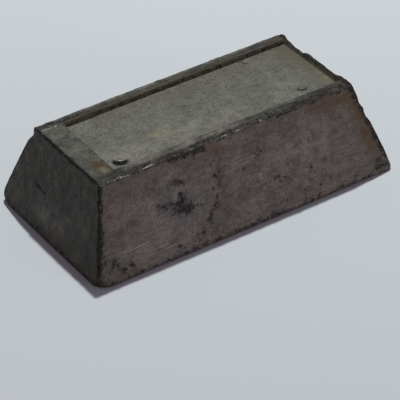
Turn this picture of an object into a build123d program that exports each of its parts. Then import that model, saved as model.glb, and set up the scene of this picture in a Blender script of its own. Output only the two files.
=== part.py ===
from build123d import *
import math
import os

# Cast lead-alloy ingot, one solid, as it lies once it is turned out of its mould.
# The floor of the mould made the upper face, with a sunk panel in it.
# The open top of the mould, where the metal was poured, is now the underside.
# Surface tension rounded the edges and the corners there.
# Frame: origin at the centre of the underside, +X along the length to the thin rim, +Z up.
# Sizes are in millimetres and angles in degrees.

# Block, measured to the sharp corners that it would have before any rounding
base_length = 127.0
base_width = 69.8
height = 34.2
end_lean = 16.6  # of each end from upright
side_lean = 20.6  # of each long side from upright

# Rounding
base_edge_radius = 1.0  # all round the underside
near_corner_radius = 6.5  # in plan, at the underside, of the two corners at the broad rim
far_corner_radius = 3.0  # the same at the thin rim
corner_foot = 9.0  # height over which a corner loses its rounder foot
upright_edge_radius = 1.4  # of each corner above its foot
top_edge_radius = 0.7  # along the outline of the upper face

# Rims of the upper face, each from the outline to the mouth of the panel
side_rim = 4.5
near_rim = 8.9
far_rim = 1.3
lip = 0.9  # level strip between the panel and the fall of a long rim
rim_fall = 0.7  # drop of a long rim from its lip, measured at the sharp edge of the upper face
crease_radius = 4.0  # where the fall of a long rim begins

# Sunk panel
panel_depth = 1.8
panel_wall_lean = 12.0  # of its walls from upright
panel_corner_radius = 0.8  # at its floor

# Two low round marks that stand on the floor of the panel, near its front wall
mark_spacing = 76.5
mark_inset = 6.5  # from the mouth of the panel to the centre of a mark
mark_width = 6.0  # at its foot
mark_height = 0.7
mark_wall_lean = 25.0  # of its wall from upright


def run(rise, lean):
    """Level distance that a face with this lean covers over a rise."""
    return rise * math.tan(math.radians(lean))


def length_at(level):
    """Sharp length of the block at a level above the underside."""
    return base_length - 2 * run(level, end_lean)


def width_at(level):
    """Sharp width of the block at a level above the underside."""
    return base_width - 2 * run(level, side_lean)


mouth_length = length_at(height) - near_rim - far_rim
mouth_width = width_at(height) - 2 * side_rim
mouth_centre = (near_rim - far_rim) / 2
panel_floor = height - panel_depth


def side_view():
    """Outline of the block above its foot, seen across its length."""
    half_foot = length_at(corner_foot) / 2
    half_top = length_at(height) / 2
    return make_face(
        Polyline(
            (-half_foot, corner_foot),
            (-half_top, height),
            (half_top, height),
            (half_foot, corner_foot),
            close=True,
        )
    )


def end_view():
    """Outline of the block above its foot, seen along its length, with the fall of the long rims."""
    half_foot = width_at(corner_foot) / 2
    crest = mouth_width / 2 + lip
    slope = rim_fall / (width_at(height) / 2 - crest)
    drop = rim_fall / (1 - run(slope, side_lean))
    half_top = width_at(height - drop) / 2
    view = make_face(
        Polyline(
            (-half_foot, corner_foot),
            (-half_top, height - drop),
            (-crest, height),
            (crest, height),
            (half_top, height - drop),
            (half_foot, corner_foot),
            close=True,
        )
    )
    return fillet(view.vertices().group_by(Axis.Y)[-1], crease_radius)


def top_outline(block):
    """Edges where the upper faces meet the ends, the sides and the corners."""
    upper = [face for face in block.faces() if face.normal_at().Z > math.cos(math.radians(side_lean))]
    edges = [edge for face in upper for edge in face.edges()]
    return [edge for edge in edges if edges.count(edge) == 1]


def upper_block():
    """The block above its foot: what both views have in common, with its edges rounded."""
    block = extrude(Plane.YZ * end_view(), base_length, both=True)
    block = block & extrude(Plane.XZ * side_view(), base_width, both=True)
    upright = [edge for edge in block.edges() if edge.bounding_box().size.Z > (height - corner_foot) / 2]
    block = fillet(upright, upright_edge_radius)
    return fillet(top_outline(block), top_edge_radius)


def wall_between(low, high):
    """Wall of the foot from an edge of the underside up to the edge above it, flat or round as they are."""
    if (low @ 0 - high @ 0).length > (low @ 0 - high @ 1).length:
        high = high.reversed()
    if low.geom_type == GeomType.LINE:
        return make_face(Polyline(low @ 0, low @ 1, high @ 1, high @ 0, close=True)).face()
    return Face.make_surface_from_curves(low, high)


def foot_below(block):
    """The foot of the block, which runs from the rounded underside to the lowest face of the upper block."""
    underside = Rectangle(base_length, base_width)
    underside = fillet(underside.vertices().group_by(Axis.X)[0], near_corner_radius)
    underside = fillet(underside.vertices().group_by(Axis.X)[-1], far_corner_radius).face()
    top = block.faces().sort_by(Axis.Z)[0]
    walls = [wall_between(low, top.edges().sort_by_distance(low @ 0.5)[0]) for low in underside.edges()]
    foot = Solid(Shell([underside, *walls, top]))
    return fillet(foot.edges().group_by(Axis.Z)[0], base_edge_radius)


def panel_tray():
    """The room of the sunk panel, carried on above its mouth."""
    spread = 2 * run(panel_depth, panel_wall_lean)
    floor = RectangleRounded(mouth_length - spread, mouth_width - spread, panel_corner_radius)
    return Pos(mouth_centre, 0, panel_floor) * extrude(floor, 2 * panel_depth, taper=-panel_wall_lean)


def floor_marks():
    """The two round marks, which hollows in the floor of the mould left on the panel."""
    mark = extrude(Circle(mark_width / 2), mark_height, taper=mark_wall_lean)
    front = mark_inset - mouth_width / 2
    return [Pos(end * mark_spacing / 2, front, panel_floor) * mark for end in (-1, 1)]


block = upper_block()
ingot = foot_below(block) + block - panel_tray() + floor_marks()
ingot.label = "ingot"

os.makedirs("parts", exist_ok=True)
export_step(ingot, "parts/ingot.step")
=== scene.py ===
import math

import bpy
import numpy as np
from mathutils import Matrix, Vector, noise


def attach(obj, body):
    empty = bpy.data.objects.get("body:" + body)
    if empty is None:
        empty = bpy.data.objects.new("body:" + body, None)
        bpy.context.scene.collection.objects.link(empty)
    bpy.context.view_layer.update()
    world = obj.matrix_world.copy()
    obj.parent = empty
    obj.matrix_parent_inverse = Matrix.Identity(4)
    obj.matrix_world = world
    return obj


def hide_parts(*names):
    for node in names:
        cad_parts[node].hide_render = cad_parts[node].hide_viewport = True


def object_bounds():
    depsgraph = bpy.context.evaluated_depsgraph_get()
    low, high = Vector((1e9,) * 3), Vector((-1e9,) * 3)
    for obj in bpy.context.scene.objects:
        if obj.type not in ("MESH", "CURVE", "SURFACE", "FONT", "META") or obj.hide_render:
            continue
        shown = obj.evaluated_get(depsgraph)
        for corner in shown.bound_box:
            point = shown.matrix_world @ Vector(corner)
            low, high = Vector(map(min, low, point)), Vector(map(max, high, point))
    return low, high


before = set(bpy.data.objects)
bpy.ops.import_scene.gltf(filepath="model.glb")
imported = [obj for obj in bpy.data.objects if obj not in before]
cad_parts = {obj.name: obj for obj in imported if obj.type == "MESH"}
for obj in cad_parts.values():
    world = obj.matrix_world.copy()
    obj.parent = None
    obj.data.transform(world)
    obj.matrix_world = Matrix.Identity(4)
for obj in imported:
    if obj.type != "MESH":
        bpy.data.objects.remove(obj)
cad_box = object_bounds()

# Lengths are in millimetres and MM turns them into metres, but the floor and the lamps are in metres
MM = 0.001

# Signs of x and y at the four corners, anticlockwise from the near front one
CORNERS = ((-1, -1), (1, -1), (1, 1), (-1, 1))

# Sizes of the block, as in the part's source
BASE_LENGTH = 127.0
BASE_WIDTH = 69.8
HEIGHT = 34.2
END_LEAN = math.radians(16.6)
SIDE_LEAN = math.radians(20.6)
BASE_EDGE_RADIUS = 1.0
NEAR_FRONT_RADIUS = 6.5
FAR_CORNER_RADIUS = 3.0
CORNER_FOOT = 9.0
SIDE_RIM = 4.5
NEAR_RIM = 8.9
FAR_RIM = 1.3
LIP = 0.9
RIM_FALL = 0.7
PANEL_DEPTH = 1.8

# Sizes that the skin has of its own, before it is worn
NEAR_REAR_RADIUS = 2.0
UPRIGHT_EDGE_RADIUS = 1.0
TOP_EDGE_RADIUS = 0.45
LEAST_BASE_RADIUS = 0.5  # of a corner in plan, on the rounding of the underside
TOP_CORNER_TAPER = 0.3  # loss of a corner's radius for each millimetre of rise over the top edge
CREST_ROUNDING = 0.3  # where the fall of a long rim begins
RIM_BLEND = 0.3  # share of a rim over which the top edge turns into the rim's own slope
WALL_RUN = 0.75  # level run of the panel's walls
FAR_WALL_RUN = 1.6  # the same at the broken far rim
PANEL_CORNER_RADIUS = 1.2

# Steps of the mesh along a long side, along an end, round a corner and up the profile
LONG_STEPS = 190
SHORT_STEPS = 96
ARC_STEPS = 8
BASE_STEPS = 5
SIDE_STEPS = 60
EDGE_STEPS = 5
RIM_STEPS = 12
WALL_STEPS = 8

# Relief of the casting: sizes of its features, then heights
WAVE_SIZE = 24.0
LUMP_SIZE = 7.0
SKIN_SIZE = 2.2
NIBBLE_SIZE = 2.6
NOISE_SHIFT = Vector((31.7, 12.9, 57.3))  # between one noise and the next
WAVE_HEIGHT = 0.16
WAVE_SINK = 0.6  # share of that height by which the waves lie low, inside the solid
LUMP_HEIGHT = 0.06
SKIN_HEIGHT = 0.05
RIM_ROUGHNESS = 0.15
FRONT_RIM_ROUGHNESS = 0.2  # on top of the other
NIBBLE_DEPTH = 0.45
LUMP_BITE = 0.2
BITE_REACH = 1.1  # from an edge
REAR_CALM = 0.7  # share of the bites that the rear edges are spared
UNDERSIDE_CALM = 0.8  # share of the relief that the underside is spared
NORMAL_ROUNDS = 24  # rounds of blending for the directions of the relief

# Upright edges: the level where they begin, and how far inside the sharp corners they run
EDGE_START = 6.0
EDGE_START_INSET = 0.4
EDGE_TOP_INSET_X = 0.3
EDGE_TOP_INSET_Y = 0.1

# Nicks, each with its centre, its reach and its depth
NICKS = [
    # In the far front edge
    ((56.2, -24.6, 27.0), 1.6, 0.8),
    ((57.3, -26.4, 22.0), 1.9, 0.7),
    ((55.3, -25.5, 28.8), 1.0, 0.4),
    # In the front top edge, and a burr on it that stands out
    ((-20.0, -21.9, 33.4), 1.5, 0.35),
    ((13.6, -21.8, 33.4), 0.9, -0.25),
    # A dent below the near rear corner of the top
    ((-54.3, 23.2, 30.8), 1.9, 0.8),
]

# The two marks on the floor of the panel, each with its centre, its radius and its rise
MARKS = [((-38.1, -11.1), 3.2, 1.3), ((38.9, -10.9), 2.0, 0.7)]
MARK_HIGH_SIDE = (-0.59, -0.81)  # direction in which a mark is highest
MARK_LOW_SHARE = 0.08  # height of its other side, as a share of its rise
MARK_WALL = 0.2  # reach of the painted shade on its wall, as a share of its radius
MARK_LIP = 0.82  # place of the painted highlight along its lip, as a share of its radius
MARK_LIP_REACH = 0.08

# The broken far rim, with its chips, each with its place across the block, its reach and its depth
CHIPS = [(11.3, 5.6, 1.5), (-8.6, 3.4, 0.55), (17.5, 1.6, 0.6)]
CHIP_ROUGHNESS = 0.35  # share of a chip's depth that comes and goes
FAR_RIM_LOSS = 0.1  # all along the rim
FAR_MIDDLE_LOSS = 0.5  # as well as that, between its corners
FAR_LUMP_LOSS = 0.25  # as well as both, where the casting is lumpy
FAR_RIM_LIFT = 0.05  # room for the relief above the rim
FAR_RIM_PULL = 0.4  # share of the loss by which the outer edge is drawn in
FAR_RIM_REACH = 4.0  # of the broken part, in from the outer edge
FAR_RIM_ROOM = 1.0  # depth of the broken part below the panel's floor

# Worn corners: the far rear one of the top, and the near rear one of the foot
FAR_CORNER_WEAR = 3.0
FOOT_CORNER = (-62.9, 34.2, 0.0)
FOOT_WEAR = np.array((0.95, -0.75, 1.2))
FOOT_WEAR_REACH = 3.0

# Stains and some painted light and shade, each along a line from a start to an end, with a reach and a
# strength
STAINS_AND_PAINTED_LIGHT = {
    # Black spots and smudges, and one scratch on the near end
    "grime_and_shade": [
        ((-33.5, -27.5, 19.6), (-26.0, -28.2, 17.8), 2.4, 0.55),
        ((-27.0, -28.4, 17.2), (-22.5, -29.0, 15.6), 3.6, 0.8),
        ((-24.2, -27.2, 20.5), (-23.8, -28.2, 17.8), 1.6, 0.85),
        ((-22.0, -29.2, 15.2), (-18.9, -29.5, 14.5), 2.4, 0.5),
        ((-34.7, -28.6, 16.8), (-34.7, -28.6, 16.8), 0.8, 0.9),
        ((-25.6, -25.2, 25.7), (-22.0, -26.0, 23.7), 2.0, 0.62),
        ((-25.0, -22.4, 33.2), (-12.0, -22.6, 32.7), 2.4, 0.8),
        ((-8.0, -25.1, 26.1), (-8.6, -27.1, 20.8), 3.0, 0.5),
        ((-8.6, -27.1, 20.8), (-10.8, -29.3, 14.8), 3.0, 0.48),
        ((-10.8, -29.3, 14.8), (-19.2, -33.1, 4.8), 3.0, 0.46),
        ((-19.2, -33.1, 4.8), (-29.9, -33.4, 4.0), 2.6, 0.5),
        ((-57.5, -31.7, 8.6), (-50.5, -33.3, 4.4), 4.0, 0.56),
        ((1.4, -27.4, 19.9), (10.9, -25.7, 24.4), 3.0, 0.36),
        ((14.0, -29.8, 13.7), (24.0, -31.5, 9.0), 3.0, 0.4),
        ((31.3, 14.9, 32.4), (31.3, 14.9, 32.4), 3.0, 0.5),
        ((57.0, -33.3, 3.0), (62.0, -33.5, 2.0), 4.0, 0.6),
        ((-60.6, -31.4, 6.5), (-61.6, -32.6, 1.5), 1.8, 0.75),
        ((-58.6, 13.9, 16.5), (-58.9, 7.0, 15.6), 0.65, 0.95),
        ((20.0, 27.5, 19.0), (12.0, 28.7, 16.0), 3.0, 0.6),
        ((-30.0, 30.5, 11.0), (-24.0, 29.4, 14.0), 3.2, 0.55),
        ((40.0, 32.0, 7.0), (30.0, 33.0, 4.5), 2.8, 0.55),
        ((-44.0, 25.0, 26.0), (-38.0, 25.6, 24.5), 2.4, 0.55),
        ((58.0, 8.0, 18.0), (59.2, 2.0, 14.0), 2.8, 0.6),
        ((60.6, -14.0, 9.5), (60.0, -8.0, 11.5), 2.4, 0.5),
    ],
    # Reddish tints
    "blush": [
        ((-51.5, -24.4, 27.9), (-56.0, -28.8, 16.5), 5.5, 0.9),
        ((-18.0, -24.0, 29.0), (-4.0, -24.0, 29.0), 4.0, 0.6),
        ((-61.5, 24.8, 6.8), (-61.5, 24.8, 6.8), 4.5, 0.6),
        ((-20.0, 26.0, 24.0), (0.0, 27.0, 21.0), 6.0, 0.6),
    ],
    # Grey round the largest black spot
    "haze": [
        ((-27.0, -28.2, 17.6), (-22.5, -29.0, 15.6), 4.6, 0.9),
    ],
    # Pale rubbed metal, and painted sheen on the floor of the panel with a painted highlight along its
    # front edge
    "pale_and_sheen": [
        ((22.0, -27.0, 20.0), (36.0, -28.0, 18.0), 6.0, 0.5),
        ((-48.0, -31.5, 9.0), (-36.0, -31.0, 10.0), 5.0, 0.5),
        ((-60.5, 8.0, 9.0), (-60.0, -8.0, 11.0), 5.0, 0.6),
        ((-57.0, -14.0, 20.0), (-59.0, -18.0, 14.0), 4.0, 0.4),
        ((-49.0, 4.0, 34.2), (-49.0, 16.0, 34.2), 5.0, 0.5),
        ((-46.0, 21.4, 33.5), (46.0, 21.4, 33.5), 0.9, 0.9),
        # Painted highlight along the front edge of the panel's mouth
        ((-40.0, -18.6, 34.2), (8.0, -18.6, 34.2), 1.5, 0.9),
        # Painted sheen round the near mark and along the front of the panel's floor
        ((-42.0, -9.5, 32.4), (-33.0, -11.5, 32.4), 3.2, 0.9),
        ((-33.0, -9.0, 32.4), (12.0, -11.5, 32.4), 4.0, 0.5),
        ((-50.0, -27.5, 20.0), (-38.0, -27.5, 20.0), 6.0, 0.5),
    ],
    # Fine level scratches
    "scratched": [
        ((-56.1, -31.2, 9.9), (-37.5, -31.3, 9.5), 3.0, 1.0),
        ((-50.0, -33.0, 5.0), (-40.0, -33.0, 5.0), 2.5, 0.8),
        ((-42.0, -32.3, 7.0), (-24.0, -33.0, 5.0), 2.6, 0.9),
        ((-16.0, -26.5, 22.0), (4.0, -26.0, 23.5), 3.4, 0.6),
        ((-10.0, 31.0, 10.0), (25.0, 31.5, 9.0), 3.0, 0.8),
    ],
    # Brown rust, most of it round the far front edge
    "rust": [
        ((34.0, -23.2, 31.2), (52.0, -23.6, 30.2), 2.6, 0.95),
        ((51.5, -23.2, 31.0), (55.0, -27.0, 21.0), 3.4, 0.95),
        ((54.5, -29.3, 14.5), (55.0, -27.8, 18.5), 3.6, 1.0),
        ((57.2, -31.3, 9.2), (55.5, -30.0, 13.0), 3.2, 1.0),
        ((-9.3, -23.0, 31.8), (-6.0, -23.4, 30.8), 2.2, 0.6),
        ((-48.5, -11.6, 34.2), (-46.5, -12.4, 34.2), 1.8, 1.0),
        ((46.0, 24.0, 29.0), (50.0, 26.2, 23.0), 2.6, 0.7),
    ],
    # Olive tint along the far and rear walls of the panel and at the front corners of the foot, and painted
    # shade over the rear of the panel's floor
    "olive": [
        ((52.5, -15.0, 32.4), (51.0, 17.0, 32.4), 6.2, 1.0),
        ((-44.0, 17.3, 33.3), (52.0, 17.3, 33.3), 1.0, 0.9),
        # Painted shade over the rear of the panel's floor
        ((-30.0, 14.0, 32.4), (48.0, 12.5, 32.4), 5.0, 0.4),
        ((-62.0, -31.0, 3.0), (-57.0, -33.5, 3.0), 4.0, 0.35),
        ((50.0, -34.2, 2.0), (60.0, -34.0, 2.5), 2.8, 0.55),
    ],
    # Yellowish spots on the upper face
    "bloom": [
        ((-20.5, -5.5, 32.4), (-16.5, -5.5, 32.4), 2.6, 0.6),
        ((50.0, -8.1, 32.4), (50.4, -12.5, 32.4), 2.2, 0.45),
        ((35.6, -14.8, 32.4), (35.6, -14.8, 32.4), 2.0, 0.5),
        ((-47.2, -16.2, 34.2), (-47.2, -15.2, 34.2), 1.4, 0.6),
    ],
    # Bright bare metal, and painted glints along the near part of the front top edge and on the burr
    "wear_and_glint": [
        ((-53.3, -22.2, 33.9), (-41.0, -22.2, 33.6), 0.5, 0.8),
        ((-54.9, -24.8, 26.9), (-54.9, -24.8, 26.9), 0.7, 0.7),
        ((-62.6, -32.6, 5.2), (-62.6, -32.6, 5.2), 0.8, 0.8),
        ((-63.0, -18.0, 1.0), (-63.0, -29.0, 1.0), 0.6, 0.5),
        ((13.6, -21.6, 33.6), (13.6, -21.6, 33.6), 0.8, 0.9),
        ((-52.4, 17.7, 34.2), (-46.0, 17.7, 34.2), 0.5, 0.8),
    ],
}

# Grime along rims and edges and on the faces, painted shade on the walls of the panel and at the step by
# the near mouth, dirt and painted shade on the broken far rim, and darkening below the top edges and at the
# foot: their strengths, then their reaches
# Painted shade on the walls of the panel
WALL_SHADE = 0.5
# Dirt and painted shade on the broken far rim
FAR_RIM_GRIME_AND_SHADE = 1.2
UPRIGHT_GRIME = 0.95
# Darker just below the top edges
BELOW_EDGE_DARKENING = 0.7
LUMP_GRIME = 0.2
NEAR_EDGE_GRIME = 0.8
FRONT_RIM_GRIME = 0.62
REAR_RIM_GRIME = 0.34
REAR_RIM_NEAR_GRIME = 0.3  # as well as that, towards the near end
# Painted shade along the step at the near mouth of the panel
NEAR_MOUTH_SHADE = 0.6
# Darker towards the foot
FOOT_DARKENING = 0.6
FACE_GRIME = 0.05
WAVE_GRIME = 0.25
UPRIGHT_REACH = 1.1
UPRIGHT_FAR_REACH = 1.2  # as well as that, towards the far end
BELOW_EDGE_REACH = 1.2
NEAR_EDGE_REACH = 0.7
LUMP_REACH = 0.5  # by which a reach grows where the casting is lumpy
FRONT_RIM_START = -0.4  # where the grime of the front rim begins, out from the crest
FRONT_RIM_SHIFT = 0.8  # farther out than that where the rim is paler
FRONT_RIM_WIDTH = 1.8  # over which that grime grows

# Bright worn metal with painted glints along the front top edge, and painted highlights along the high
# edges of the marks
EDGE_WEAR_AND_GLINT = 0.55
EDGE_WEAR_AND_GLINT_SKIN = 0.5
EDGE_WEAR_AND_GLINT_LUMPS = 0.4
EDGE_WEAR_AND_GLINT_REACH = 0.55
MARK_HIGHLIGHT = 1.1

# Masks by the way a point faces, each from where it is 0 to where it is 1
FACING_UP = (0.5, 0.8)
FACING_END = (0.55, 0.8)
FACING_DOWN = (0.3, 0.7)

# Masks by the noises
NIBBLED = (0.1, 0.9)
LUMP_BITTEN = (0.0, 0.6)
FAR_LUMPS = (-0.1, 0.6)

# Masks along the block, in x
NEAR_HALF = (0, -10)
FAR_HALF = (0, 10)
FAR_FRONT_EDGE = (30, 50)
PALER_FRONT_RIM = (22, 6)
GRIMY_FRONT_RIM = (-48, -38)
GRIMY_REAR_RIM = (-28, -42)
NEAR_MOUTH = (-40, -43)
BRIGHT_EDGE = (20, 8)

# Masks across the block, in y, from its middle, from the crest of a rim or from the mouth
REAR_HALF = (-10, 10)
BRIGHT_FRONT = (0, -12)
FAR_MIDDLE = (17, 13)
BEYOND_CREST = (-1, 1)
REAR_RIM = (-0.1, 0.8)
COMBED_RIM = (-0.5, 0.5)

# Masks by the distance inside the mouth of the panel
INSIDE_PANEL = (0.2, 0.8)
WALL_TOP = (-0.3, 0.15)
WALL_FOOT = (1.3, 0.7)
MOUTH_LINE = (0.8, 0.1)

# Masks by the distance inside the far edge of the top
FAR_LOSS = (3.2, 1.0)
FAR_DRAWN_IN = (2.6, 0.2)
FAR_RIDGE = (2.8, 1.4)

# Masks by height, as a depth below the top or as a level
WALL_DEPTH = (0.1, 0.6)
FAR_RIDGE_DEPTH = (3.0, 1.8)
BELOW_EDGE_DEPTH = (0.6, 1.0)
NEAR_EDGE_DEPTH = (2.0, 1.0)
WORN_CORNER_LEVEL = (14.0, HEIGHT - 1)
FAR_DRAWN_IN_LEVEL = (27.0, 33.0)
FOOT_LEVEL = (4.5, 0.5)

# Masks round a mark, as shares of its radius
MARK_SIDES = (-0.2, 0.9)
MARK_EDGE = (1.0, 0.86)

# Surface of the metal
LEAST_ROUGHNESS = 0.3
ROUGHNESS_SPREAD = 0.4
RIM_DULLING = 0.25
GRIME_AND_SHADE_DULLING = 0.5
WEAR_POLISH = 0.3
WEAR_METALLIC = 0.4
SPECULAR = 0.3
BUMP_DISTANCE = 0.35 * MM
BUMP_FINE = 0.5
BUMP_BLOTS = 0.8
BUMP_GRIME_AND_SHADE = 0.25  # by which grime and painted shade lie low
GRIME_AND_SHADE_BLOTS = 1.7
GRIME_AND_SHADE_GRIT = 1.1
GRIME_AND_SHADE_RANGE = (1.74, 2.22)
WEAR_AND_GLINT_RANGE = (0.95, 1.4)

# Camera, fitted to the corners of the block
AIM = Vector((-1.29, -3.30, -5.09)) * MM
DISTANCE = 859.6 * MM
AZIMUTH = math.radians(-32.26)
ELEVATION = math.radians(35.58)
ROLL = math.radians(-2.20)
LENS = 212.7
SENSOR = 36.0

# Floor and light
FLOOR_HALF = 4.0
FLOOR_DROP = 0.05 * MM
FLOOR_COLOUR = (0.595, 0.66, 0.674, 1)
FLOOR_ROUGHNESS = 0.9
FLOOR_SPECULAR = 0.1
SKY_COLOUR = (1.0, 0.8, 0.95, 1)
SKY_STRENGTH = 0.18
LAMP_DISTANCE = 1.6

# Worked out from the sizes above
TOP_HALF_LENGTH = BASE_LENGTH / 2 - HEIGHT * math.tan(END_LEAN)
TOP_HALF_WIDTH = BASE_WIDTH / 2 - HEIGHT * math.tan(SIDE_LEAN)
MOUTH_HALF_LENGTH = TOP_HALF_LENGTH - (NEAR_RIM + FAR_RIM) / 2
MOUTH_HALF_WIDTH = TOP_HALF_WIDTH - SIDE_RIM
MOUTH_CENTRE = (NEAR_RIM - FAR_RIM) / 2
CREST = MOUTH_HALF_WIDTH + LIP
RIM_SLOPE = RIM_FALL / (TOP_HALF_WIDTH - CREST)


def smooth(value, low, high):
    """Smooth step from 0 at low to 1 at high."""
    share = np.clip((value - low) / (high - low), 0, 1)
    return share * share * (3 - 2 * share)


def fade(gap, reach):
    """1 where a gap is nothing, fading to 0 over about twice the reach."""
    return np.exp(-((gap / reach) ** 2))


def fractal(points, size, octaves, seed):
    """Fractal noise, about -1 to 1, with features of a size."""
    shift = NOISE_SHIFT * (seed + 1)
    return np.array([noise.fractal(Vector(point) / size + shift, 1.0, 2.0, octaves) for point in points])


# Rings of the skin


def loop_template():
    """How each point of a ring lies along the straight sides, -1 to 1, and the angle that it faces."""
    corners = np.array(CORNERS, float)
    turn = np.linspace(0, math.pi / 4, ARC_STEPS // 2 + 1)
    along, angle = [], []
    for side in range(4):
        steps = SHORT_STEPS if side % 2 else LONG_STEPS
        facing = math.pi * (1.5 + 0.5 * side)
        inner = np.linspace(0, 1, steps + 1)[1:-1]
        share = np.concatenate((np.zeros(len(turn)), inner, np.ones(len(turn) - 1)))
        start, end = corners[side], corners[(side + 1) % 4]
        along.append(start + share[:, None] * (end - start))
        angle.append(np.concatenate((facing - turn[::-1], np.full(steps - 1, facing), facing + turn[:-1])))
    return np.concatenate(along), np.concatenate(angle)


ALONG, ANGLE = loop_template()


def ring(half_length, half_width, corner, end_height, side_height, centre=0.0):
    """A closed loop of points round the block, anticlockwise from above, from its near front corner."""
    cos, sin = np.cos(ANGLE), np.sin(ANGLE)
    x = centre + ALONG[:, 0] * (half_length - corner) + corner * cos
    y = ALONG[:, 1] * (half_width - corner) + corner * sin
    z = end_height * cos**2 + side_height * sin**2
    return np.stack((x, y, z), axis=1)


def sharp_half(level, base, lean):
    """Half the sharp length or width of the block at a level."""
    return base / 2 - level * math.tan(lean)


def corner_at(level):
    """Plan radius for each point of a ring at a level: its corner's own at the foot, and sharper above."""
    foot = max(0.0, 1 - level / CORNER_FOOT)
    far, rear = (1 + ALONG.T) / 2
    near_radius = NEAR_FRONT_RADIUS + rear * (NEAR_REAR_RADIUS - NEAR_FRONT_RADIUS)
    base_radius = near_radius + far * (FAR_CORNER_RADIUS - near_radius)
    return UPRIGHT_EDGE_RADIUS + (base_radius - UPRIGHT_EDGE_RADIUS) * foot**2


def base_arc(lean, share):
    """Offset from the sharp base edge and height, at a share of the rounding of the underside."""
    centre = -BASE_EDGE_RADIUS * (1 + math.sin(lean)) / math.cos(lean)
    angle = -math.pi / 2 + share * (math.pi / 2 + lean)
    return centre + BASE_EDGE_RADIUS * math.cos(angle), BASE_EDGE_RADIUS * (1 + math.sin(angle))


def top_arc(lean, tilt, edge, share):
    """Offset and height at a share of the rounding between a leaning side and a top tilted outwards."""
    side = np.array((math.cos(lean), math.sin(lean)))
    top = np.array((math.sin(tilt), math.cos(tilt)))
    centre = edge - TOP_EDGE_RADIUS * (side + top) / (1 + side @ top)
    angle = lean + share * (math.pi / 2 - tilt - lean)
    return centre + TOP_EDGE_RADIUS * np.array((math.cos(angle), math.sin(angle)))


def top_arcs():
    """Offsets and heights over the rounding of the top outline, at the ends and at the long sides."""
    drop = RIM_FALL / (1 - RIM_SLOPE * math.tan(SIDE_LEAN))
    end_edge = np.array((0.0, HEIGHT))
    side_edge = np.array((drop * math.tan(SIDE_LEAN), HEIGHT - drop))
    shares = np.linspace(0, 1, EDGE_STEPS + 1)
    ends = [top_arc(END_LEAN, 0.0, end_edge, share) for share in shares]
    sides = [top_arc(SIDE_LEAN, math.atan(RIM_SLOPE), side_edge, share) for share in shares]
    return ends, sides


def top_height(y):
    """Height of the upper face across the block: level in the middle, falling over the long rims."""
    beyond = np.abs(y) - CREST
    return HEIGHT - RIM_SLOPE * 0.5 * (beyond + np.sqrt(beyond**2 + CREST_ROUNDING**2))


def base_rings():
    """Rings from the flat of the underside up over its rounding."""
    rings = []
    for share in np.linspace(0, 1, BASE_STEPS + 1):
        end_out, end_level = base_arc(END_LEAN, share)
        side_out, side_level = base_arc(SIDE_LEAN, share)
        inset = -side_out - side_level * math.tan(SIDE_LEAN)
        corner = np.maximum(corner_at(side_level) - inset, LEAST_BASE_RADIUS)
        half_length = BASE_LENGTH / 2 + end_out
        half_width = BASE_WIDTH / 2 + side_out
        rings.append(ring(half_length, half_width, corner, end_level, side_level))
    return rings


def side_rings():
    """Rings up the leaning ends and sides."""
    end_low, side_low = base_arc(END_LEAN, 1)[1], base_arc(SIDE_LEAN, 1)[1]
    ends, sides = top_arcs()
    rings = []
    for share in np.linspace(0, 1, SIDE_STEPS + 1)[1:-1]:
        end_level = end_low + share * (ends[0][1] - end_low)
        side_level = side_low + share * (sides[0][1] - side_low)
        half_length = sharp_half(end_level, BASE_LENGTH, END_LEAN)
        half_width = sharp_half(side_level, BASE_WIDTH, SIDE_LEAN)
        rings.append(ring(half_length, half_width, corner_at(side_level), end_level, side_level))
    return rings


def edge_rings():
    """Rings over the rounding of the top outline."""
    ends, sides = top_arcs()
    rings = []
    for (end_out, end_level), (side_out, side_level) in zip(ends, sides):
        corner = UPRIGHT_EDGE_RADIUS - TOP_CORNER_TAPER * (side_level - sides[0][1])
        half_length = TOP_HALF_LENGTH + end_out
        half_width = TOP_HALF_WIDTH + side_out
        rings.append(ring(half_length, half_width, corner, end_level, side_level))
    return rings


def rim_rings(outline):
    """Rings over the rims, from the top outline in to the mouth of the panel."""
    mouth = ring(MOUTH_HALF_LENGTH, MOUTH_HALF_WIDTH, PANEL_CORNER_RADIUS, HEIGHT, HEIGHT, MOUTH_CENTRE)
    rings = []
    for share in np.linspace(0, 1, RIM_STEPS + 1)[1:]:
        loop = outline + share * (mouth - outline)
        loop[:, 2] += smooth(share, 0.0, RIM_BLEND) * (top_height(loop[:, 1]) - loop[:, 2])
        rings.append(loop)
    return rings


def wall_rings():
    """Rings down the walls of the panel to its floor."""
    rings = []
    for share in np.linspace(0, 1, WALL_STEPS + 1)[1:]:
        inset, far_inset = share * WALL_RUN, share * FAR_WALL_RUN
        half_length = MOUTH_HALF_LENGTH - (inset + far_inset) / 2
        half_width = MOUTH_HALF_WIDTH - inset
        centre = MOUTH_CENTRE + (inset - far_inset) / 2
        level = HEIGHT - PANEL_DEPTH * smooth(share, 0.0, 1.0)
        rings.append(ring(half_length, half_width, PANEL_CORNER_RADIUS, level, level, centre))
    return rings


# Mesh of the skin


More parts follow.
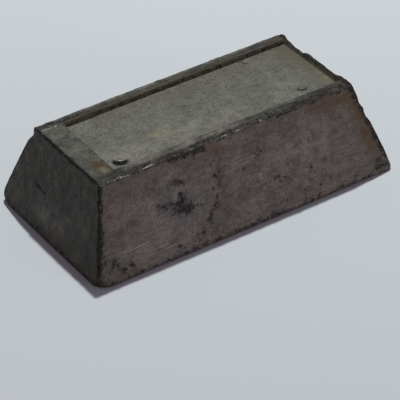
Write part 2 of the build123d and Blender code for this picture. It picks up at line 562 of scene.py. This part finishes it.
def filled(loop, first, next_index):
    """Points inside a ring, blended from its four sides, and the grid of indices that joins them to it."""
    columns, rows = LONG_STEPS + ARC_STEPS, SHORT_STEPS + ARC_STEPS
    closed = np.vstack((loop, loop[:1]))
    closed_index = np.append(np.arange(first, first + len(loop)), first)
    front = slice(0, columns + 1)
    far = slice(columns, columns + rows + 1)
    rear = slice(columns + rows, 2 * columns + rows + 1)
    near = slice(2 * columns + rows, None)
    across = np.linspace(0, 1, columns + 1)[:, None, None]
    up = np.linspace(0, 1, rows + 1)[None, :, None]
    bottom, top = closed[front][:, None], closed[rear][::-1][:, None]
    left, right = closed[near][::-1][None], closed[far][None]
    corners = (
        (1 - across) * (1 - up) * bottom[0, 0]
        + across * (1 - up) * bottom[-1, 0]
        + (1 - across) * up * top[0, 0]
        + across * up * top[-1, 0]
    )
    sheet = (1 - up) * bottom + up * top + (1 - across) * left + across * right - corners
    inside = sheet[1:-1, 1:-1].reshape(-1, 3)
    grid = np.zeros((columns + 1, rows + 1), int)
    grid[1:-1, 1:-1] = np.arange(next_index, next_index + len(inside)).reshape(columns - 1, rows - 1)
    grid[:, 0], grid[:, -1] = closed_index[front], closed_index[rear][::-1]
    grid[0, :], grid[-1, :] = closed_index[near][::-1], closed_index[far]
    return inside, grid


def quads_of(grid):
    """Faces of a grid of indices, facing up where the grid is seen anticlockwise."""
    faces = (grid[:-1, :-1], grid[1:, :-1], grid[1:, 1:], grid[:-1, 1:])
    return np.stack(faces, axis=-1).reshape(-1, 4)


def block_mesh():
    """Points and four-sided faces of the whole closed skin."""
    rings = base_rings() + side_rings() + edge_rings()
    rings += rim_rings(rings[-1]) + wall_rings()
    points = np.vstack(rings)
    stack = np.arange(len(points)).reshape(len(rings), -1)
    sides = quads_of(np.hstack((stack, stack[:, :1])).T)
    panel, panel_grid = filled(rings[-1], stack[-1, 0], len(points))
    underside, under_grid = filled(rings[0], 0, len(points) + len(panel))
    points = np.vstack((points, panel, underside))
    faces = np.vstack((sides, quads_of(panel_grid), quads_of(under_grid)[:, ::-1]))
    return points, faces


def gathered(face_vectors, faces, count):
    """Unit vector at each point, from the vectors of the faces round it."""
    total = np.zeros((count, 3))
    for corner in range(4):
        np.add.at(total, faces[:, corner], face_vectors)
    return total / np.linalg.norm(total, axis=1, keepdims=True)


def point_normals(points, faces):
    """Unit normal at each point."""
    corner = points[faces]
    across = np.cross(corner[:, 2] - corner[:, 0], corner[:, 3] - corner[:, 1])
    return gathered(across, faces, len(points))


def softened(normals, faces):
    """Normals blended with those round them, so that relief doesn't fold over a sharp edge."""
    for _ in range(NORMAL_ROUNDS):
        normals = gathered(normals[faces].mean(axis=1), faces, len(normals))
    return normals


def segment_distance(points, start, end):
    """Distance of each point from a straight segment, which may be a single place."""
    start, end = np.array(start, float), np.array(end, float)
    span = end - start
    share = np.clip((points - start) @ span / max(span @ span, 1e-9), 0, 1)
    return np.linalg.norm(points - start - share[:, None] * span, axis=1)


def patches(points, places):
    """Strongest of several soft patches, each along a segment, with a reach and a strength."""
    found = []
    for start, end, reach, strength in places:
        found.append(strength * fade(segment_distance(points, start, end), reach))
    return np.max(found, axis=0)


def upright_edge(side_x, side_y):
    """Ends of one upright edge: just above its foot, and at the top."""
    start_x = side_x * (sharp_half(EDGE_START, BASE_LENGTH, END_LEAN) - EDGE_START_INSET)
    start_y = side_y * (sharp_half(EDGE_START, BASE_WIDTH, SIDE_LEAN) - EDGE_START_INSET)
    top_x = side_x * (TOP_HALF_LENGTH - EDGE_TOP_INSET_X)
    top_y = side_y * (TOP_HALF_WIDTH - EDGE_TOP_INSET_Y)
    return (start_x, start_y, EDGE_START), (top_x, top_y, HEIGHT - RIM_FALL)


# Each point of the plain skin: its place, the way it faces and how far it lies from edges and the panel
points, faces = block_mesh()
normals = point_normals(points, faces)
x, y, z = points.T
facing_up = smooth(normals[:, 2], *FACING_UP)
facing_end = smooth(np.abs(normals[:, 0]), *FACING_END)
facing_down = smooth(-normals[:, 2], *FACING_DOWN)
mouth_gap = np.minimum(MOUTH_HALF_LENGTH - np.abs(x - MOUTH_CENTRE), MOUTH_HALF_WIDTH - np.abs(y))
far_gap = TOP_HALF_LENGTH - x
below_top = HEIGHT - z
in_panel = facing_up * smooth(mouth_gap, *INSIDE_PANEL)
on_rim = facing_up * (1 - in_panel)
uprights = [upright_edge(side_x, side_y) for side_x, side_y in CORNERS]
upright_gap = np.min([segment_distance(points, *edge) for edge in uprights], axis=0)
top_edges = [(uprights[k - 1][1], uprights[k][1]) for k in range(4)]
top_edge_gap = np.min([segment_distance(points, *edge) for edge in top_edges], axis=0)

waves = fractal(points, WAVE_SIZE, octaves=2, seed=1)
lumps = fractal(points, LUMP_SIZE, octaves=3, seed=2)
skin = fractal(points, SKIN_SIZE, octaves=3, seed=3)
nibbles = fractal(points, NIBBLE_SIZE, octaves=2, seed=4)

# Distance from each mark as a share of its radius, and how far round to its high side a point lies
mark_places = []
for (mark_x, mark_y), radius, rise in MARKS:
    off_x, off_y = (x - mark_x) / radius, (y - mark_y) / radius
    high_side = smooth(MARK_HIGH_SIDE[0] * off_x + MARK_HIGH_SIDE[1] * off_y, *MARK_SIDES)
    mark_places.append((np.hypot(off_x, off_y), high_side, rise))


# Shape of the skin


def cast_relief():
    """Height along the normals: cast waves and skin, rough rims and bitten edges, and calm underneath."""
    bite = NIBBLE_DEPTH * smooth(nibbles, *NIBBLED) + LUMP_BITE * smooth(lumps, *LUMP_BITTEN)
    bitten = fade(np.minimum(top_edge_gap, upright_gap), BITE_REACH)
    bitten *= 1 - REAR_CALM * smooth(y, *REAR_HALF)
    roughness = RIM_ROUGHNESS + FRONT_RIM_ROUGHNESS * smooth(-y - CREST, *BEYOND_CREST)
    relief = WAVE_HEIGHT * (waves - WAVE_SINK) + LUMP_HEIGHT * lumps + SKIN_HEIGHT * skin
    relief += roughness * on_rim * skin - bitten * bite
    return relief * (1 - UNDERSIDE_CALM * smooth(facing_down, 0.0, 1.0))


def nick_relief():
    """Height along the normals of all nicks together."""
    relief = np.zeros(len(points))
    for centre, reach, depth in NICKS:
        relief -= depth * fade(segment_distance(points, centre, centre), reach)
    return relief


def mark_relief():
    """Height of the two marks, each with a flat top that is highest at one side."""
    shapes = []
    for distance, high_side, rise in mark_places:
        tilt = MARK_LOW_SHARE + (1 - MARK_LOW_SHARE) * high_side
        shapes.append(in_panel * rise * smooth(distance, *MARK_EDGE) * tilt)
    return sum(shapes)


def break_far_rim(shaped):
    """Breaks the far rim away, most of all towards the rear, and draws its outer edge in."""
    chips = sum(depth * np.exp(-(np.abs((y - centre) / reach) ** 4)) for centre, reach, depth in CHIPS)
    lost = FAR_RIM_LOSS + FAR_MIDDLE_LOSS * smooth(np.abs(y), *FAR_MIDDLE)
    lost += chips * (1 + CHIP_ROUGHNESS * nibbles) + FAR_LUMP_LOSS * smooth(lumps, *FAR_LUMPS)
    level = HEIGHT + FAR_RIM_LIFT - lost * smooth(far_gap, *FAR_LOSS)
    at_rim = (far_gap < FAR_RIM_REACH) & (below_top < PANEL_DEPTH + FAR_RIM_ROOM)
    shaped[:, 2] = np.where(at_rim, np.minimum(shaped[:, 2], level), shaped[:, 2])
    drawn_in = smooth(z, *FAR_DRAWN_IN_LEVEL) * smooth(far_gap, *FAR_DRAWN_IN)
    shaped[:, 0] -= FAR_RIM_PULL * lost * drawn_in


def wear_far_corner(shaped):
    """Wears the far rear corner round towards the top: a square of its plan becomes a quarter disc."""
    reach = FAR_CORNER_WEAR * smooth(z, *WORN_CORNER_LEVEL)
    out_x = np.maximum(shaped[:, 0] - sharp_half(z, BASE_LENGTH, END_LEAN) + reach, 0)
    out_y = np.maximum(shaped[:, 1] - sharp_half(z, BASE_WIDTH, SIDE_LEAN) + reach, 0)
    out = np.hypot(out_x, out_y)
    pull = np.where(out > 0, np.maximum(out_x, out_y) / np.maximum(out, 1e-9), 1)
    shaped[:, 0] -= out_x * (1 - pull)
    shaped[:, 1] -= out_y * (1 - pull)


def wear_foot_corner(shaped):
    """Wears the near rear corner of the foot round."""
    gap = segment_distance(points, FOOT_CORNER, FOOT_CORNER)
    shaped += fade(gap, FOOT_WEAR_REACH)[:, None] * FOOT_WEAR


relief = cast_relief() + nick_relief() + mark_relief()
shaped = points + relief[:, None] * softened(normals, faces)
break_far_rim(shaped)
wear_far_corner(shaped)
wear_foot_corner(shaped)
low, high = np.array(cad_box) / MM
shaped = np.clip(shaped, low, high)


# Zones of colour at every point


def gathered_grime_and_shade():
    """Black dirt along rims and edges and a little on the faces, darkening below the top edges and at the
    foot, painted shade on the walls of the panel and of the marks and at the step by the near mouth, and
    dirt with painted shade on the broken far rim.
    """
    # Painted shade down the walls of the panel, from the mouth
    wall_shade = smooth(mouth_gap, *WALL_TOP) * smooth(mouth_gap, *WALL_FOOT) * smooth(below_top, *WALL_DEPTH)
    # Dirt and painted shade over the broken far rim and its inner wall
    far_ridge_dirt_and_shade = smooth(far_gap, *FAR_RIDGE) * smooth(below_top, *FAR_RIDGE_DEPTH)
    upright_reach = UPRIGHT_REACH + LUMP_REACH * lumps + UPRIGHT_FAR_REACH * smooth(x, *FAR_FRONT_EDGE)
    upright_line = fade(upright_gap, upright_reach)
    below_edge = fade(top_edge_gap, BELOW_EDGE_REACH) * smooth(below_top, *BELOW_EDGE_DEPTH)
    near_line = fade(x + TOP_HALF_LENGTH, NEAR_EDGE_REACH + LUMP_REACH * lumps)
    near_line *= smooth(below_top, *NEAR_EDGE_DEPTH)
    rim_start = CREST + FRONT_RIM_START + FRONT_RIM_SHIFT * smooth(x, *PALER_FRONT_RIM)
    front_rim = facing_up * smooth(-y, rim_start, rim_start + FRONT_RIM_WIDTH) * smooth(x, *GRIMY_FRONT_RIM)
    rear_rim = facing_up * smooth(y - MOUTH_HALF_WIDTH, *REAR_RIM)
    rear_rim *= REAR_RIM_GRIME + REAR_RIM_NEAR_GRIME * smooth(x, *GRIMY_REAR_RIM)
    # Painted shade along the step at the near mouth of the panel
    near_mouth_shade = facing_up * smooth(np.abs(mouth_gap), *MOUTH_LINE) * smooth(x, *NEAR_MOUTH)
    # Painted shade on the high wall of each mark
    mark_wall_shades = []
    for distance, high_side, _ in mark_places:
        mark_wall_shades.append(in_panel * high_side * np.exp(-(((distance - 1) / MARK_WALL) ** 4)))
    lines = (
        WALL_SHADE * wall_shade,
        FAR_RIM_GRIME_AND_SHADE * far_ridge_dirt_and_shade,
        UPRIGHT_GRIME * upright_line,
        BELOW_EDGE_DARKENING * below_edge + LUMP_GRIME * lumps,
        NEAR_EDGE_GRIME * near_line,
        FRONT_RIM_GRIME * front_rim,
        rear_rim,
        NEAR_MOUTH_SHADE * near_mouth_shade,
        FOOT_DARKENING * smooth(z, *FOOT_LEVEL),
        FACE_GRIME + WAVE_GRIME * waves,
    )
    return np.max((*lines, *mark_wall_shades), axis=0)


def edge_wear_and_highlights():
    """Bright worn metal with painted glints along the front top edge, and painted highlights along the high
    edges of the marks.
    """
    edge = fade(top_edge_gap, EDGE_WEAR_AND_GLINT_REACH) * smooth(x, *BRIGHT_EDGE) * smooth(y, *BRIGHT_FRONT)
    edge *= EDGE_WEAR_AND_GLINT + EDGE_WEAR_AND_GLINT_SKIN * skin + EDGE_WEAR_AND_GLINT_LUMPS * lumps
    # Painted highlights along the high lip of each mark
    mark_highlights = []
    for distance, high_side, _ in mark_places:
        mark_highlights.append(MARK_HIGHLIGHT * in_panel * high_side * fade(distance - MARK_LIP, MARK_LIP_REACH))
    return np.max((edge, *mark_highlights), axis=0)


zones = {name: patches(points, places) for name, places in STAINS_AND_PAINTED_LIGHT.items()}
zones["grime_and_shade"] = np.maximum(zones["grime_and_shade"], gathered_grime_and_shade())
zones["wear_and_glint"] = np.maximum(zones["wear_and_glint"], edge_wear_and_highlights())
zones["olive"] *= 1 - facing_end * smooth(x, *FAR_HALF)
zones["panel"] = in_panel
zones["rim"] = on_rim
zones["combed"] = on_rim * smooth(np.abs(y) - MOUTH_HALF_WIDTH, *COMBED_RIM)
# The near end alone, whose darker tones are partly painted shade
zones["end"] = facing_end * (1 - facing_up) * smooth(x, *NEAR_HALF)

# The skin as an object, with its zones
mesh = bpy.data.meshes.new("ingot_skin")
mesh.from_pydata((shaped * MM).tolist(), [], faces.tolist())
mesh.polygons.foreach_set("use_smooth", [True] * len(mesh.polygons))
for name, values in zones.items():
    zone = mesh.attributes.new(name, "FLOAT", "POINT")
    zone.data.foreach_set("value", np.clip(values, 0, 1).astype(np.float32))
ingot = bpy.data.objects.new("ingot_skin", mesh)
bpy.context.scene.collection.objects.link(ingot)

# Material of the skin
material = bpy.data.materials.new("tarnished_lead")
material.use_nodes = True
nodes, links = material.node_tree.nodes, material.node_tree.links
shader = nodes["Principled BSDF"]
place = nodes.new("ShaderNodeTexCoord").outputs["Object"]


def tone(red, green, blue):
    """Colour from its 0 to 255 values on screen, by the curve of sRGB."""
    return [((part / 255 + 0.055) / 1.055) ** 2.4 for part in (red, green, blue)] + [1]


def attribute(name):
    """One of the zones of the mesh."""
    reader = nodes.new("ShaderNodeAttribute")
    reader.attribute_name = name
    return reader.outputs["Fac"]


def mottle(size, detail, stretch=(1, 1, 1), shift=0.0, roughness=0.6, warp=0.0):
    """Noise fixed to the ingot, with features of a size, drawn out by the stretch and warped."""
    mapping = nodes.new("ShaderNodeMapping")
    mapping.inputs["Location"].default_value = (shift, shift, shift)
    mapping.inputs["Scale"].default_value = [1 / (size * MM * part) for part in stretch]
    links.new(place, mapping.inputs["Vector"])
    texture = nodes.new("ShaderNodeTexNoise")
    texture.inputs["Scale"].default_value = 1.0
    texture.inputs["Detail"].default_value = detail
    texture.inputs["Roughness"].default_value = roughness
    texture.inputs["Distortion"].default_value = warp
    links.new(mapping.outputs["Vector"], texture.inputs["Vector"])
    return texture.outputs["Fac"]


def ramp(value, *stops):
    """Colours along a value, each stop a position and a colour."""
    blend = nodes.new("ShaderNodeValToRGB")
    elements = blend.color_ramp.elements
    while len(elements) < len(stops):
        elements.new(0.5)
    for element, (position, colour) in zip(elements, stops):
        element.position = position
        element.color = colour
    links.new(value, blend.inputs["Fac"])
    return blend.outputs["Color"]


def mask(value, low, high):
    """A value spread so that low becomes 0 and high becomes 1."""
    spread = nodes.new("ShaderNodeMapRange")
    spread.interpolation_type = "SMOOTHSTEP"
    spread.inputs["From Min"].default_value = low
    spread.inputs["From Max"].default_value = high
    links.new(value, spread.inputs["Value"])
    return spread.outputs["Result"]


def math_node(operation, first, second):
    """One operation on two values, or on a value and a number."""
    step = nodes.new("ShaderNodeMath")
    step.operation = operation
    for socket, value in zip(step.inputs, (first, second)):
        if isinstance(value, (int, float)):
            socket.default_value = value
        else:
            links.new(value, socket)
    return step.outputs["Value"]


def scaled(value, factor):
    """A value times a number."""
    return math_node("MULTIPLY", value, factor)


def colour_mix(blend, first, second):
    """A mix node with its two colours, each a socket or the parts of a colour, and its result."""
    mix = nodes.new("ShaderNodeMix")
    mix.data_type = "RGBA"
    mix.blend_type = blend
    sockets = [socket for socket in mix.inputs if socket.type == "RGBA"]
    for socket, value in zip(sockets, (first, second)):
        if isinstance(value, list):
            socket.default_value = value
        else:
            links.new(value, socket)
    return mix, [socket for socket in mix.outputs if socket.type == "RGBA"][0]


def mixed(factor, first, second):
    """Two colours mixed by a factor."""
    mix, result = colour_mix("MIX", first, second)
    links.new(factor, mix.inputs["Factor"])
    return result


def multiplied(first, second):
    """One colour darkened by another."""
    mix, result = colour_mix("MULTIPLY", first, second)
    mix.inputs["Factor"].default_value = 1.0
    return result


# Noises, from the broadest to the finest, and then those drawn out into streaks
broad = mottle(18.0, 3.0)
medium = mottle(4.5, 8.0, shift=3.1, roughness=0.7)
blots = mottle(2.2, 4.0, shift=8.3)
grit = mottle(1.0, 3.0, shift=4.4)
fine = mottle(0.55, 3.0, shift=7.7)
streaked = mottle(2.6, 6.0, (1.0, 1.0, 2.2), shift=5.3, roughness=0.68, warp=0.6)
wiped = mottle(2.0, 7.0, (3, 3, 1), shift=2.6, roughness=0.7, warp=1.2)
brushed = mottle(0.45, 2.0, (22, 22, 1), shift=1.9)
drawn = mottle(0.8, 4.0, (16, 1, 1), shift=6.2, warp=0.4)
WHITE = tone(255, 255, 255)


def broad_colour(dark, middle, light):
    """Colour of a kind of face, in three broad tones."""
    return ramp(broad, (0.35, tone(*dark)), (0.5, tone(*middle)), (0.65, tone(*light)))


def metal_colour():
    """Colour of the tarnished metal: each kind of face in its own tones, the near end's darkened as painted
    shade, clouded and grained.
    """
    side = broad_colour((115, 108, 98), (131, 122, 113), (142, 133, 128))
    # The near end's own olive tones, darkened as painted shade
    end = broad_colour((95, 94, 75), (112, 111, 90), (126, 124, 103))
    panel = broad_colour((106, 110, 98), (121, 126, 113), (133, 138, 125))
    rim = broad_colour((95, 101, 90), (110, 117, 105), (121, 128, 116))
    clouds = ramp(medium, (0.34, tone(160, 155, 151)), (0.5, tone(224, 222, 221)), (0.66, WHITE))
    film = ramp(medium, (0.34, tone(184, 181, 176)), (0.5, tone(228, 227, 225)), (0.66, WHITE))
    wipes = ramp(wiped, (0.36, tone(182, 179, 178)), (0.5, tone(236, 235, 234)), (0.64, WHITE))
    grain = ramp(fine, (0.3, tone(170, 167, 165)), (0.5, tone(232, 231, 230)), (0.7, WHITE))
    pepper = ramp(grit, (0.3, tone(160, 157, 154)), (0.42, tone(236, 235, 234)), (0.62, WHITE))
    streaks = ramp(streaked, (0.36, tone(118, 116, 112)), (0.5, tone(200, 199, 196)), (0.62, WHITE))
    combing = ramp(drawn, (0.38, tone(120, 117, 113)), (0.5, tone(218, 217, 215)), (0.6, WHITE))
    redness = ramp(medium, (0.3, tone(255, 234, 230)), (0.7, tone(255, 246, 243)))
    colour = mixed(attribute("end"), side, end)
    colour = mixed(attribute("rim"), colour, rim)
    colour = multiplied(multiplied(colour, clouds), wipes)
    colour = mixed(attribute("panel"), colour, multiplied(panel, film))
    colour = multiplied(multiplied(colour, grain), pepper)
    for zone_name, pattern in (("end", streaks), ("combed", combing), ("blush", redness)):
        colour = mixed(attribute(zone_name), colour, multiplied(colour, pattern))
    return colour


def with_stains_and_painted_light(colour):
    """The metal with its stains, painted sheen and painted shade, each broken up by a noise."""
    stains_and_painted_light = (
        ("haze", mask(blots, 0.3, 0.6), tone(66, 70, 68)),
        ("pale_and_sheen", mask(medium, 0.3, 0.9), tone(150, 145, 136)),
        ("scratched", mask(brushed, 0.54, 0.66), tone(124, 117, 111)),
        ("rust", mask(medium, 0.2, 0.55), tone(70, 48, 5)),
        ("olive", mask(medium, 0.15, 0.5), tone(74, 71, 50)),
        ("bloom", mask(blots, 0.35, 0.6), tone(130, 126, 94)),
    )
    for zone_name, pattern, overlay_colour in stains_and_painted_light:
        colour = mixed(math_node("MULTIPLY", attribute(zone_name), pattern), colour, overlay_colour)
    return colour


def grime_and_shade_cover():
    """Where grime and painted shade cover the metal, with ragged outlines."""
    ragged = math_node("ADD", scaled(blots, GRIME_AND_SHADE_BLOTS), scaled(grit, GRIME_AND_SHADE_GRIT))
    return mask(math_node("ADD", attribute("grime_and_shade"), ragged), *GRIME_AND_SHADE_RANGE)


def surface_roughness(grime_and_shade, wear_and_glint):
    """Roughness: duller on the rims and in the grime and painted shade, brighter where the metal is worn
    and where glints and highlights are painted.
    """
    dulling = math_node("MAXIMUM", scaled(attribute("rim"), RIM_DULLING), scaled(grime_and_shade, GRIME_AND_SHADE_DULLING))
    roughness = math_node("ADD", scaled(medium, ROUGHNESS_SPREAD), LEAST_ROUGHNESS)
    roughness = math_node("ADD", roughness, dulling)
    return math_node("SUBTRACT", roughness, scaled(wear_and_glint, WEAR_POLISH))


def surface_bump(grime_and_shade):
    """Normals of the fine grain and of the pits under the grime and the painted shade."""
    grain_height = math_node("ADD", scaled(fine, BUMP_FINE), scaled(blots, BUMP_BLOTS))
    bump = nodes.new("ShaderNodeBump")
    bump.inputs["Strength"].default_value = 1.0
    bump.inputs["Distance"].default_value = BUMP_DISTANCE
    links.new(math_node("SUBTRACT", grain_height, scaled(grime_and_shade, BUMP_GRIME_AND_SHADE)), bump.inputs["Height"])
    return bump.outputs["Normal"]


grime_and_shade_share = grime_and_shade_cover()
# Dark colour of the grime and of the painted shade
grime_and_shade_colour = ramp(fine, (0.35, tone(26, 25, 23)), (0.55, tone(44, 43, 40)), (0.68, tone(76, 75, 71)))
wear_and_glint_share = mask(math_node("ADD", attribute("wear_and_glint"), fine), *WEAR_AND_GLINT_RANGE)
dirty_and_shaded_colour = mixed(grime_and_shade_share, with_stains_and_painted_light(metal_colour()), grime_and_shade_colour)
# Bright worn metal, with painted glints and painted highlights, over the dirty and shaded metal
links.new(mixed(wear_and_glint_share, dirty_and_shaded_colour, tone(158, 158, 152)), shader.inputs["Base Color"])
links.new(scaled(wear_and_glint_share, WEAR_METALLIC), shader.inputs["Metallic"])
links.new(surface_roughness(grime_and_shade_share, wear_and_glint_share), shader.inputs["Roughness"])
links.new(surface_bump(grime_and_shade_share), shader.inputs["Normal"])
shader.inputs["Specular IOR Level"].default_value = SPECULAR
mesh.materials.append(material)

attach(ingot, "root")
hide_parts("ingot")

# Floor
floor_corners = [(side_x * FLOOR_HALF, side_y * FLOOR_HALF, 0) for side_x, side_y in CORNERS]
floor_mesh = bpy.data.meshes.new("floor")
floor_mesh.from_pydata(floor_corners, [], [(0, 1, 2, 3)])
floor = bpy.data.objects.new("floor", floor_mesh)
floor.location.z = -FLOOR_DROP
bpy.context.scene.collection.objects.link(floor)
floor_material = bpy.data.materials.new("floor")
floor_material.use_nodes = True
floor_shader = floor_material.node_tree.nodes["Principled BSDF"]
floor_shader.inputs["Base Color"].default_value = FLOOR_COLOUR
floor_shader.inputs["Roughness"].default_value = FLOOR_ROUGHNESS
floor_shader.inputs["Specular IOR Level"].default_value = FLOOR_SPECULAR
floor_mesh.materials.append(floor_material)

# Light
world = bpy.data.worlds.new("studio")
world.use_nodes = True
sky = world.node_tree.nodes["Background"]
sky.inputs["Color"].default_value = SKY_COLOUR
sky.inputs["Strength"].default_value = SKY_STRENGTH
bpy.context.scene.world = world


def lamp(name, direction, size, power, colour):
    """A square lamp that shines on the ingot from a direction."""
    light = bpy.data.lights.new(name, "AREA")
    light.color = colour
    light.size = size
    light.energy = power
    lamp_object = bpy.data.objects.new(name, light)
    toward = Vector(direction).normalized()
    lamp_object.location = toward * LAMP_DISTANCE
    lamp_object.rotation_euler = toward.to_track_quat("Z", "Y").to_euler()
    bpy.context.scene.collection.objects.link(lamp_object)


lamp("key", (0.33, 0.405, 1.0), size=0.05, power=20.8, colour=(1.0, 1.0, 1.0))
lamp("fill", (0.5, -1.0, 0.07), size=0.2, power=7.0, colour=(1.0, 0.92, 0.98))

# Camera
camera_data = bpy.data.cameras.new("camera")
camera_data.lens = LENS
camera_data.sensor_width = SENSOR
camera = bpy.data.objects.new("camera", camera_data)
bpy.context.scene.collection.objects.link(camera)
right = Vector((math.cos(AZIMUTH), math.sin(AZIMUTH), 0))
level_back = Vector((math.sin(AZIMUTH), -math.cos(AZIMUTH), 0))
back = level_back * math.cos(ELEVATION) + Vector((0, 0, math.sin(ELEVATION)))
up = back.cross(right)
rolled_right = right * math.cos(ROLL) + up * math.sin(ROLL)
rolled_up = up * math.cos(ROLL) - right * math.sin(ROLL)
axes = Matrix((rolled_right, rolled_up, back)).transposed()
camera.matrix_world = Matrix.Translation(AIM + back * DISTANCE) @ axes.to_4x4()
bpy.context.scene.camera = camera
bpy.context.scene.view_settings.view_transform = "Standard"
